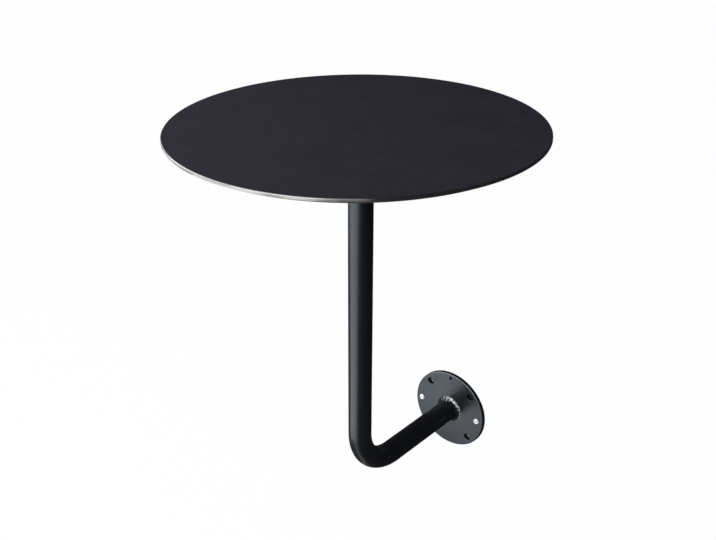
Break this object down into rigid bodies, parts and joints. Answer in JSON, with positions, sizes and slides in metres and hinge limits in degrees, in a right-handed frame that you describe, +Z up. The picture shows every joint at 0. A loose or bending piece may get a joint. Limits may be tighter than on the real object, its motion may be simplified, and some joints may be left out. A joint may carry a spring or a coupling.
{
  "type": "wall-mounted cafe table",
  "caption": "Small round cafe table carried off a wall: thin black top on a bent steel tube welded to a round wall flange with anchor holes.",
  "frame": {"origin": "centre of the wall flange's back face, on the wall", "axes": "+Z up, +Y into the wall, so the table stands out from the wall towards -Y and +X is to the right as seen from the room"},
  "size_m": [0.5999, 0.608, 0.768],
  "materials": {
    "black_laminate": "matte black compact laminate with a smoother, glossier edge",
    "black_coat": "satin black powder coat on steel",
    "black_steel": "blackened steel fasteners",
    "bright_steel": "bright plated steel screws",
    "brass": "plain turned brass"
  },
  "bodies": {
    "root": {"table_top": "black_laminate", "threaded_inserts": "brass", "top_plate": "black_coat", "top_screws": "black_steel", "screw_washers": "black_steel", "top_plate_weld": "black_coat", "bent_tube": "black_coat", "flange_weld": "black_coat", "wall_flange": "black_coat", "flange_screws": "bright_steel"}
  },
  "joints": []
}
